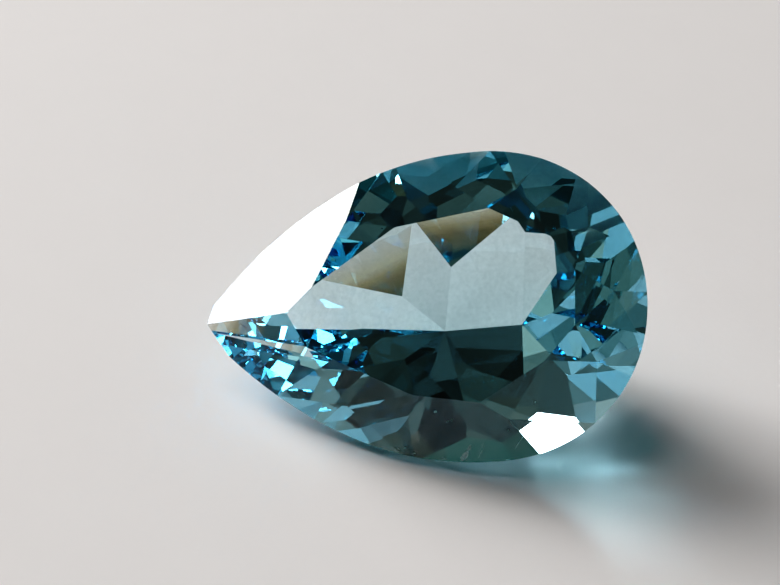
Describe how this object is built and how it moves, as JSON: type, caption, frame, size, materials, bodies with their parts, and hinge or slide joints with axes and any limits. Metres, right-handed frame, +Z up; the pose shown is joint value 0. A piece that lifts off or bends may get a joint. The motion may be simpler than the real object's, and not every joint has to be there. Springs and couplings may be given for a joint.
{
  "type": "pear cut topaz",
  "caption": "Loose pear-cut blue topaz, transparent and fully faceted, lying on a flat facet of its pavilion with the table tilted to the front.",
  "frame": {"origin": "centre of the bounding box in plan, on the surface the stone lies on", "axes": "+Z up, +X along the stone's length towards its round head, -Y the front, which the table faces"},
  "size_m": [0.0178, 0.0094, 0.0097],
  "materials": {
    "topaz": "polished flat facets, clear blue, see-through"
  },
  "bodies": {
    "root": {"topaz": "topaz"}
  },
  "joints": []
}
